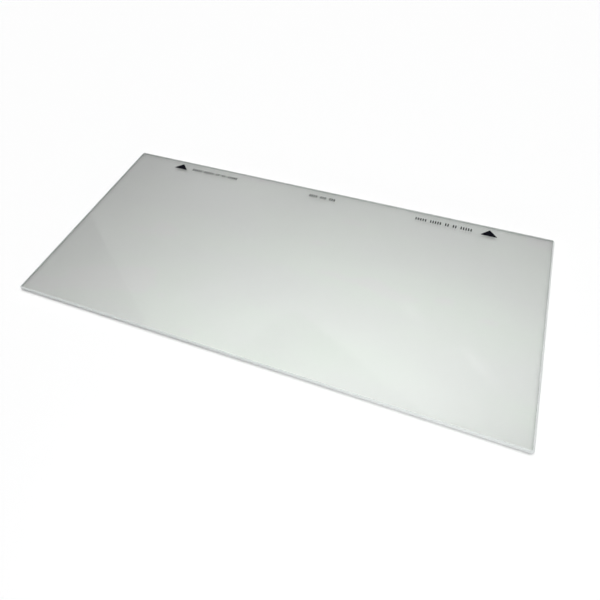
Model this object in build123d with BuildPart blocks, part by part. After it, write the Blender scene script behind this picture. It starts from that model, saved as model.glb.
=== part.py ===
"""Inner glass of an oven door: one toughened pane, ground to a pencil edge all round.

The pane lies flat with its marked face up. X runs along the long side, +Y points to the
marked edge that goes into the door first, and Z runs through the thickness. The origin is
the middle of the underside.
"""

import os

from build123d import *

# Driving dimensions, in millimetres
pane_width = 500.0  # along X, between the two edges that run in the door's side channels
pane_height = 237.0  # along Y, from the lower edge to the leading edge
glass_thickness = 4.0
corner_radius = 3.0  # dubbed corners, seen in plan at the crown of the edge
edge_land = 0.4  # flat strip that the grinding wheel leaves at the crown of the edge

# The pencil edge: one round above the land and one below it
pencil_radius = (glass_thickness - edge_land) / 2

with BuildPart() as inner_glass:
    with BuildSketch(Plane.XY):
        RectangleRounded(pane_width, pane_height, corner_radius)
    extrude(amount=glass_thickness)
    pane_faces = inner_glass.faces().filter_by(Axis.Z)
    fillet(pane_faces.edges(), radius=pencil_radius)
inner_glass.part.label = "inner_glass"

os.makedirs("parts", exist_ok=True)
export_step(inner_glass.part, "parts/inner_glass.step")
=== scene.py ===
"""Inner glass of an oven door, lying flat on a white floor in a light tent."""

import math

import bpy
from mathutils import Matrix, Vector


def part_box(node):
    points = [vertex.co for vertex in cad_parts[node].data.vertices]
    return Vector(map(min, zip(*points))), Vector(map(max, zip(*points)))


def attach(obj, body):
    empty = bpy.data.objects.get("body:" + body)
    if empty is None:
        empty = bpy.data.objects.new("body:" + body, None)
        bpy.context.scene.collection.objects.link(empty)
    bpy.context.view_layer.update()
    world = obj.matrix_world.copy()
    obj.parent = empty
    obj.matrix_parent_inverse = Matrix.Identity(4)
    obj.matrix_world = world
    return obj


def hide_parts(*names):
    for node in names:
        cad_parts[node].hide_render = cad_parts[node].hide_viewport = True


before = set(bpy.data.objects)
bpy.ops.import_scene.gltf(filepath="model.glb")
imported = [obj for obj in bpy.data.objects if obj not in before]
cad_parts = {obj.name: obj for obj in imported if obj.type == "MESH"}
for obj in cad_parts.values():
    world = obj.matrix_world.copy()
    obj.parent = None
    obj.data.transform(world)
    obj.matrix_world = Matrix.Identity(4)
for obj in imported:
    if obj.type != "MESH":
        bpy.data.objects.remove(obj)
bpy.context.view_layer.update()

# The pane
# One sheet of 4 mm float glass, cut to size, ground to a pencil edge with dubbed corners, then
# toughened. It lies loose on its plain face, with the marked face up and the leading edge at +Y.
pane_low, pane_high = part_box("inner_glass")
pane_width, pane_height, glass_thickness = pane_high - pane_low
corner_radius = 0.0030
edge_land = 0.0004
pencil_radius = (glass_thickness - edge_land) / 2
quarter_steps = 10  # flats in a quarter turn, round the pencil edge and round a corner


def rounded_outline(corners, radius, steps):
    """Points round a convex anticlockwise outline with rounded corners, each with its way outwards."""
    outline = []
    for before, corner, after in zip(corners[-1:] + corners[:-1], corners, corners[1:] + corners[:1]):
        start = math.atan2(before[0] - corner[0], corner[1] - before[1])
        turn = (math.atan2(corner[0] - after[0], after[1] - corner[1]) - start) % math.tau
        reach = radius / math.cos(turn / 2)
        centre_x = corner[0] - reach * math.cos(start + turn / 2)
        centre_y = corner[1] - reach * math.sin(start + turn / 2)
        for step in range(steps + 1):
            angle = start + turn * step / steps
            out_x, out_y = math.cos(angle), math.sin(angle)
            outline.append((centre_x + radius * out_x, centre_y + radius * out_y, out_x, out_y))
    return outline


def rectangle(width, height):
    """The corners of a rectangle about the origin, anticlockwise."""
    return [(x * width / 2, y * height / 2) for x, y in ((-1, -1), (1, -1), (1, 1), (-1, 1))]


points, normals = [], []
for side in (-1, 1):
    round_centre = glass_thickness / 2 + side * edge_land / 2
    for step in range(quarter_steps + 1):
        # The lower round climbs from the plain face to the land, the upper one on to the marked face.
        tilt = math.pi / 2 * (step / quarter_steps if side > 0 else step / quarter_steps - 1)
        inset = pencil_radius * (1 - math.cos(tilt))
        height = pane_low.z + round_centre + pencil_radius * math.sin(tilt)
        ring_corners = rectangle(pane_width - 2 * inset, pane_height - 2 * inset)
        for x, y, out_x, out_y in rounded_outline(ring_corners, corner_radius - inset, quarter_steps):
            points.append((x, y, height))
            normals.append((out_x * math.cos(tilt), out_y * math.cos(tilt), math.sin(tilt)))

ring_length = 4 * (quarter_steps + 1)
top_ring = len(points) - ring_length
plain_face = list(reversed(range(ring_length)))
marked_face = list(range(top_ring, len(points)))
edge_faces = []
for ring in range(0, top_ring, ring_length):
    for i in range(ring_length):
        after = (i + 1) % ring_length
        edge_faces.append((ring + i, ring + after, ring + ring_length + after, ring + ring_length + i))
bare_slot, coated_slot, ground_slot = range(3)  # in the order that the materials are added
pane_mesh = bpy.data.meshes.new("toughened_pane")
pane_mesh.from_pydata(points, [], [plain_face, marked_face, *edge_faces])
face_slots = [bare_slot, coated_slot] + [ground_slot] * len(edge_faces)
pane_mesh.polygons.foreach_set("material_index", face_slots)
pane_mesh.polygons.foreach_set("use_smooth", [True] * len(pane_mesh.polygons))
pane_mesh.normals_split_custom_set_from_vertices(normals)
pane = bpy.data.objects.new("toughened_pane", pane_mesh)
bpy.context.scene.collection.objects.link(pane)


def linear(hex_colour):
    """The linear colour of an sRGB hex value, with full alpha."""
    channels = [int(hex_colour[i : i + 2], 16) / 255 for i in (1, 3, 5)]
    return [c / 12.92 if c <= 0.04045 else ((c + 0.055) / 1.055) ** 2.4 for c in channels] + [1.0]


def add_node(tree, kind, settings, links=()):
    """Adds a node. A setting is an attribute or an input's value, and a link feeds an input."""
    node = tree.nodes.new(kind)
    for name, value in settings.items():
        if isinstance(name, str) and hasattr(node, name):
            setattr(node, name, value)
        else:
            node.inputs[name].default_value = value
    for name, source in dict(links).items():
        tree.links.new(source, node.inputs[name])
    return node


def new_material(name):
    """An empty material with its node tree."""
    material = bpy.data.materials.new(name)
    material.use_nodes = True
    material.node_tree.nodes.clear()
    return material, material.node_tree


# Float glass, wiped clean by hand: nearly clear, with a faint green cast in what it mirrors, and a film
# in soft bands where the cloth passed. The film takes out a little light and blurs the mirror a touch.
clear_colour = linear("#EEEEED")
filmed_colour = linear("#E8EAE9")
green_cast = linear("#F0FFF0")
cloth_width_mm = 70.0
cloth_stroke = (0.35, 1.0, 1.0)  # bands run about three times as far as they are wide
cloth_slant = math.radians(24.0)
thin_film, thick_film = 0.35, 0.75  # the noise levels between which the blur grows
film_roughness = 0.03
glass_ior = 1.52
oxide_ior = 1.9


def float_glass(name, oxide_coat):
    """Wiped float glass, with or without the heat-reflecting coat."""
    material, tree = new_material(name)
    place = add_node(tree, "ShaderNodeTexCoord", {})
    strokes = add_node(
        tree,
        "ShaderNodeMapping",
        {"Rotation": (0.0, 0.0, cloth_slant), "Scale": cloth_stroke},
        {"Vector": place.outputs["Object"]},
    )
    film = add_node(
        tree,
        "ShaderNodeTexNoise",
        {"Scale": 1000 / cloth_width_mm, "Detail": 3.0, "Roughness": 0.55},
        {"Vector": strokes.outputs[0]},
    )
    colour = add_node(
        tree,
        "ShaderNodeMix",
        {"data_type": "RGBA", 6: clear_colour, 7: filmed_colour},
        {0: film.outputs["Fac"]},
    )
    blur = add_node(
        tree,
        "ShaderNodeMapRange",
        {"From Min": thin_film, "From Max": thick_film, "To Min": 0.0, "To Max": film_roughness},
        {"Value": film.outputs["Fac"]},
    )
    shader = add_node(
        tree,
        "ShaderNodeBsdfPrincipled",
        {
            "IOR": glass_ior,
            "Transmission Weight": 1.0,
            "Specular Tint": green_cast,
            "Coat Weight": oxide_coat,
            "Coat Roughness": 0.0,
            "Coat IOR": oxide_ior,
        },
        {"Base Color": colour.outputs[2], "Roughness": blur.outputs[0]},
    )
    add_node(tree, "ShaderNodeOutputMaterial", {}, {"Surface": shader.outputs["BSDF"]})
    return material


# The marked face carries a hard tin oxide coat, fired on to throw heat back into the oven. It mirrors
# about three times what bare glass does.
pane_mesh.materials.append(float_glass("bare_float_glass", oxide_coat=0.0))
pane_mesh.materials.append(float_glass("oxide_coated_float_glass", oxide_coat=1.0))

# Ground glass: the wheel leaves a satin surface that scatters most of the light and lets some in, so
# the edge is a pale grey-green line. The grit is drawn four times too coarse, to show at all.
grit_mm = 0.25
grit_drawn = 4.0
grit_depth = 0.00003
ground_edge, edge_tree = new_material("ground_glass_edge")
edge_place = add_node(edge_tree, "ShaderNodeTexCoord", {})
grit = add_node(
    edge_tree,
    "ShaderNodeTexNoise",
    {"Scale": 1000 / (grit_mm * grit_drawn), "Detail": 2.0},
    {"Vector": edge_place.outputs["Object"]},
)
edge_colour = add_node(
    edge_tree,
    "ShaderNodeMix",
    {"data_type": "RGBA", 6: linear("#D8DDDC"), 7: linear("#E9ECEB")},
    {0: grit.outputs["Fac"]},
)
grit_bump = add_node(
    edge_tree, "ShaderNodeBump", {"Strength": 0.4, "Distance": grit_depth}, {"Height": grit.outputs["Fac"]}
)
edge_shader = add_node(
    edge_tree,
    "ShaderNodeBsdfPrincipled",
    {"Roughness": 0.25, "IOR": glass_ior, "Transmission Weight": 0.15},
    {"Base Color": edge_colour.outputs[2], "Normal": grit_bump.outputs[0]},
)
add_node(edge_tree, "ShaderNodeOutputMaterial", {}, {"Surface": edge_shader.outputs["BSDF"]})
pane_mesh.materials.append(ground_edge)

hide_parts("inner_glass")
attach(pane, "root")

# The print
# Blue-black ceramic ink, screen-printed along the leading edge and fired into the glass with the
# toughening: two arrowheads that point the way in, and rows of plain index ticks between them.
ink_thickness = 0.00004
ink_gap = 0.000005  # keeps the film's underside off the face
arrow_reach = 0.1856  # from the middle of the pane
arrow_width = 0.0176
arrow_height = 0.0090
arrow_inset = 0.0067  # from the leading edge to the tip
arrow_corner = 0.0003
tick_width = 0.0012
tick_height = 0.0041
tick_pitch = 0.0026
tick_corner = 0.0002
group_gap = 0.0030  # more between groups
row_inset = 0.0127  # from the leading edge to the middle of a row
side_groups = (5, 5, 2, 2, 5)  # ticks in each group
middle_groups = (4, 3, 3)
tick_rows = {  # the row's middle, and its groups
    "left": (-0.1395, side_groups),
    "middle": (-0.0005, middle_groups),
    "right": (0.1377, side_groups),
}
ink_steps = 4  # flats round a printed corner

# Fired ceramic ink: an opaque glaze with a satin skin and a faint orange peel. The mesh of the screen is
# drawn five times too coarse, to show at all.
screen_mesh_mm = 0.12
screen_drawn = 5.0
peel_depth = 0.00001
fired_ink, ink_tree = new_material("fired_ceramic_ink")
ink_place = add_node(ink_tree, "ShaderNodeTexCoord", {})
peel = add_node(
    ink_tree,
    "ShaderNodeTexNoise",
    {"Scale": 1000 / (screen_mesh_mm * screen_drawn), "Detail": 2.0},
    {"Vector": ink_place.outputs["Object"]},
)
ink_colour = add_node(
    ink_tree,
    "ShaderNodeMix",
    {"data_type": "RGBA", 6: linear("#05050C"), 7: linear("#0B0B16")},
    {0: peel.outputs["Fac"]},
)
ink_satin = add_node(
    ink_tree, "ShaderNodeMapRange", {"To Min": 0.40, "To Max": 0.60}, {"Value": peel.outputs["Fac"]}
)
peel_bump = add_node(
    ink_tree, "ShaderNodeBump", {"Strength": 0.3, "Distance": peel_depth}, {"Height": peel.outputs["Fac"]}
)
ink_shader = add_node(
    ink_tree,
    "ShaderNodeBsdfPrincipled",
    {"IOR": 1.5, "Specular IOR Level": 0.03},
    {
        "Base Color": ink_colour.outputs[2],
        "Roughness": ink_satin.outputs[0],
        "Normal": peel_bump.outputs[0],
    },
)
add_node(ink_tree, "ShaderNodeOutputMaterial", {}, {"Surface": ink_shader.outputs["BSDF"]})


def print_film(name, shapes):
    """Prints flat islands of ink on the marked face, one for each outline."""
    film_points, film_faces = [], []
    for shape in shapes:
        count, under = len(shape), len(film_points)
        over = under + count
        for rise in (ink_gap, ink_gap + ink_thickness):
            film_points += [(x, y, pane_high.z + rise) for x, y in shape]
        film_faces.append(list(reversed(range(under, over))))
        film_faces.append(list(range(over, over + count)))
        for i in range(count):
            after = (i + 1) % count
            film_faces.append((under + i, under + after, over + after, over + i))
    film_mesh = bpy.data.meshes.new(name)
    film_mesh.from_pydata(film_points, [], film_faces)
    film_mesh.materials.append(fired_ink)
    film = bpy.data.objects.new(name, film_mesh)
    bpy.context.scene.collection.objects.link(film)
    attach(film, "root")


def placed(outline, x, y):
    """The outline's points, moved."""
    return [(x + point[0], y + point[1]) for point in outline]


leading_edge = pane_high.y
arrow_base = leading_edge - arrow_inset - arrow_height
arrow_corners = [(-arrow_width / 2, 0.0), (arrow_width / 2, 0.0), (0.0, arrow_height)]
arrow = rounded_outline(arrow_corners, arrow_corner, ink_steps)
print_film("arrow_left", [placed(arrow, -arrow_reach, arrow_base)])
print_film("arrow_right", [placed(arrow, arrow_reach, arrow_base)])

tick = rounded_outline(rectangle(tick_width, tick_height), tick_corner, ink_steps)
for row_name, (row_middle, groups) in tick_rows.items():
    row_length = (sum(groups) - 1) * tick_pitch + (len(groups) - 1) * group_gap
    tick_x = row_middle - row_length / 2
    ticks = []
    for group in groups:
        for i in range(group):
            ticks.append(placed(tick, tick_x, leading_edge - row_inset))
            tick_x += tick_pitch
        tick_x += group_gap
    print_film(f"index_row_{row_name}", ticks)

# The floor
# A seamless sweep of white paper under the pane. It isn't part of the object. It lies a hair below the
# plain face, so that the two don't share a plane.
floor_size = 8.0
floor_drop = 0.0001
floor_points = [(x, y, pane_low.z - floor_drop) for x, y in rectangle(floor_size, floor_size)]
floor_mesh = bpy.data.meshes.new("floor")
floor_mesh.from_pydata(floor_points, [], [(0, 1, 2, 3)])
floor = bpy.data.objects.new("floor", floor_mesh)
bpy.context.scene.collection.objects.link(floor)
white_paper, paper_tree = new_material("white_paper")
paper_shader = add_node(paper_tree, "ShaderNodeBsdfDiffuse", {"Color": linear("#FDFDFD")})
add_node(paper_tree, "ShaderNodeOutputMaterial", {}, {"Surface": paper_shader.outputs["BSDF"]})
floor_mesh.materials.append(white_paper)

# The light tent
# White cloth over the pane, with a wide glow overhead and a little behind. Its darker flaps and bright
# slits are mirrored as faint straight marks. Places are slopes: how far sideways for each metre up.
tent_white = linear("#FFFFFF")
tent_fill = 0.10
tent_glows = [  # strength, middle, reach, turn in degrees
    (4.06, (-0.062, 0.153), (0.843, 0.822), 5.0),  # the wide glow
    (0.31, (-0.777, 1.203), (0.265, 0.343), 0.0),  # a lift at the far left
    (-2.00, (0.333, 0.254), (0.255, 0.255), 0.0),  # shade over the right
    (-2.07, (-0.200, -0.300), (1.000, 0.420), 0.0),  # shade over the front
    (1.60, (2.500, -0.800), (1.300, 1.100), 0.0),  # a low glow at the right
    (0.38, (-0.031, 0.747), (0.034, 0.011), -33.0),  # a slit
    (0.42, (0.146, 0.653), (0.036, 0.011), -35.0),  # another
]
tent_flaps = [  # strength, then points round the flap, with the flap on their left
    (-0.14, [(-0.500, 0.362), (-1.400, 1.050), (-2.200, 0.300), (-0.500, 0.362)]),
    (-0.22, [(0.250, 0.401), (-0.316, 0.660), (-0.464, 0.398), (0.250, 0.401)]),
]
flap_softness = 0.006
lowest_slope_z = 0.001  # stops the slopes from running away at the horizon
backdrop_strength = 1.0
world = bpy.data.worlds.new("light_tent")
bpy.context.scene.world = world
world.use_nodes = True
tent_tree = world.node_tree
tent_tree.nodes.clear()
tent_way = add_node(tent_tree, "ShaderNodeTexCoord", {})
tent_parts = add_node(tent_tree, "ShaderNodeSeparateXYZ", {}, {0: tent_way.outputs["Generated"]})
tent_height = add_node(
    tent_tree, "ShaderNodeMath", {"operation": "MAXIMUM", 1: lowest_slope_z}, {0: tent_parts.outputs["Z"]}
)
tent_slope = add_node(
    tent_tree,
    "ShaderNodeVectorMath",
    {"operation": "DIVIDE"},
    {0: tent_way.outputs["Generated"], 1: tent_height.outputs[0]},
)
tent_shapes = []
for strength, middle, reach, turn_deg in tent_glows:
    # A glow fades from its middle as a bell curve does.
    glow_place = add_node(
        tent_tree,
        "ShaderNodeMapping",
        {
            "vector_type": "TEXTURE",
            "Location": (*middle, 1.0),
            "Rotation": (0.0, 0.0, math.radians(turn_deg)),
            "Scale": (*reach, 1.0),
        },
        {"Vector": tent_slope.outputs[0]},
    )
    glow_square = add_node(
        tent_tree,
        "ShaderNodeVectorMath",
        {"operation": "DOT_PRODUCT"},
        {0: glow_place.outputs[0], 1: glow_place.outputs[0]},
    )
    glow = add_node(
        tent_tree,
        "ShaderNodeMath",
        {"operation": "POWER", 0: math.exp(-1)},
        {1: glow_square.outputs["Value"]},
    )
    tent_shapes.append((strength, glow.outputs[0]))
for strength, border in tent_flaps:
    # A flap is where all its border lines have it on their left.
    inside = None
    for start, end in zip(border, border[1:]):
        length = math.dist(start, end)
        across = ((start[1] - end[1]) / length, (end[0] - start[0]) / length)
        to_border = across[0] * start[0] + across[1] * start[1]
        depth = add_node(
            tent_tree,
            "ShaderNodeVectorMath",
            {"operation": "DOT_PRODUCT", 1: (*across, -to_border)},
            {0: tent_slope.outputs[0]},
        )
        step = add_node(
            tent_tree,
            "ShaderNodeMapRange",
            {
                "interpolation_type": "SMOOTHSTEP",
                "From Min": -flap_softness / 2,
                "From Max": flap_softness / 2,
            },
            {"Value": depth.outputs["Value"]},
        )
        if inside:
            step = add_node(
                tent_tree, "ShaderNodeMath", {"operation": "MULTIPLY"}, {0: inside, 1: step.outputs[0]}
            )
        inside = step.outputs[0]
    tent_shapes.append((strength, inside))
tent_light = None
for strength, shape in tent_shapes:
    added = add_node(
        tent_tree,
        "ShaderNodeMath",
        {"operation": "MULTIPLY_ADD", 1: strength, 2: tent_fill},
        {0: shape, 2: tent_light} if tent_light else {0: shape},
    )
    tent_light = added.outputs[0]
tent_above_zero = add_node(
    tent_tree, "ShaderNodeMath", {"operation": "MAXIMUM", 1: 0.0}, {0: tent_light}
)
tent = add_node(
    tent_tree, "ShaderNodeBackground", {"Color": tent_white}, {"Strength": tent_above_zero.outputs[0]}
)
backdrop = add_node(
    tent_tree, "ShaderNodeBackground", {"Color": tent_white, "Strength": backdrop_strength}
)

# The camera sees a white backdrop, also straight through the glass. What the glass mirrors is the tent.
ray = add_node(tent_tree, "ShaderNodeLightPath", {})
unmirrored = add_node(
    tent_tree, "ShaderNodeMath", {"operation": "LESS_THAN", 1: 0.5}, {0: ray.outputs["Glossy Depth"]}
)
straight_through = add_node(
    tent_tree,
    "ShaderNodeMath",
    {"operation": "MULTIPLY"},
    {0: ray.outputs["Is Transmission Ray"], 1: unmirrored.outputs[0]},
)
sees_backdrop = add_node(
    tent_tree,
    "ShaderNodeMath",
    {"operation": "MAXIMUM"},
    {0: ray.outputs["Is Camera Ray"], 1: straight_through.outputs[0]},
)
surroundings = add_node(
    tent_tree,
    "ShaderNodeMixShader",
    {},
    {0: sees_backdrop.outputs[0], 1: tent.outputs[0], 2: backdrop.outputs[0]},
)
add_node(tent_tree, "ShaderNodeOutputWorld", {}, {"Surface": surroundings.outputs[0]})

# The low lamp
# A small strip lamp, just above the floor in front of the pane and a little to the right. It skims over
# the marked face and lights the ground edge that looks at it. The camera doesn't see it from any side.
lamp_place = (0.18, -0.42, 0.05)
lamp_turn_deg = (82.0, 0.0, 9.0)
lamp_width = 0.24
lamp_height = 0.04
lamp_watts = 0.16
lamp_spread_deg = 120.0
lamp_data = bpy.data.lights.new("low_lamp", "AREA")
lamp_data.shape = "RECTANGLE"
lamp_data.size = lamp_width
lamp_data.size_y = lamp_height
lamp_data.energy = lamp_watts
lamp_data.spread = math.radians(lamp_spread_deg)
lamp = bpy.data.objects.new("low_lamp", lamp_data)
lamp.location = lamp_place
lamp.rotation_euler = [math.radians(turn) for turn in lamp_turn_deg]
lamp.visible_camera = False
bpy.context.scene.collection.objects.link(lamp)

# The camera
# It looks down on the marked face from in front of the lower edge, as the photograph does.
camera_place = (0.14413, -0.29371, 0.37035)
camera_turn_deg = (37.176, 2.648, 21.039)
lens_mm = 28.60
sensor_mm = 36.0
nearest_seen = 0.01
camera_data = bpy.data.cameras.new("camera")
camera_data.sensor_fit = "HORIZONTAL"
camera_data.sensor_width = sensor_mm
camera_data.lens = lens_mm
camera_data.clip_start = nearest_seen
camera = bpy.data.objects.new("camera", camera_data)
camera.location = camera_place
camera.rotation_euler = [math.radians(turn) for turn in camera_turn_deg]
bpy.context.scene.collection.objects.link(camera)
bpy.context.scene.camera = camera
bpy.context.scene.view_settings.view_transform = "Standard"
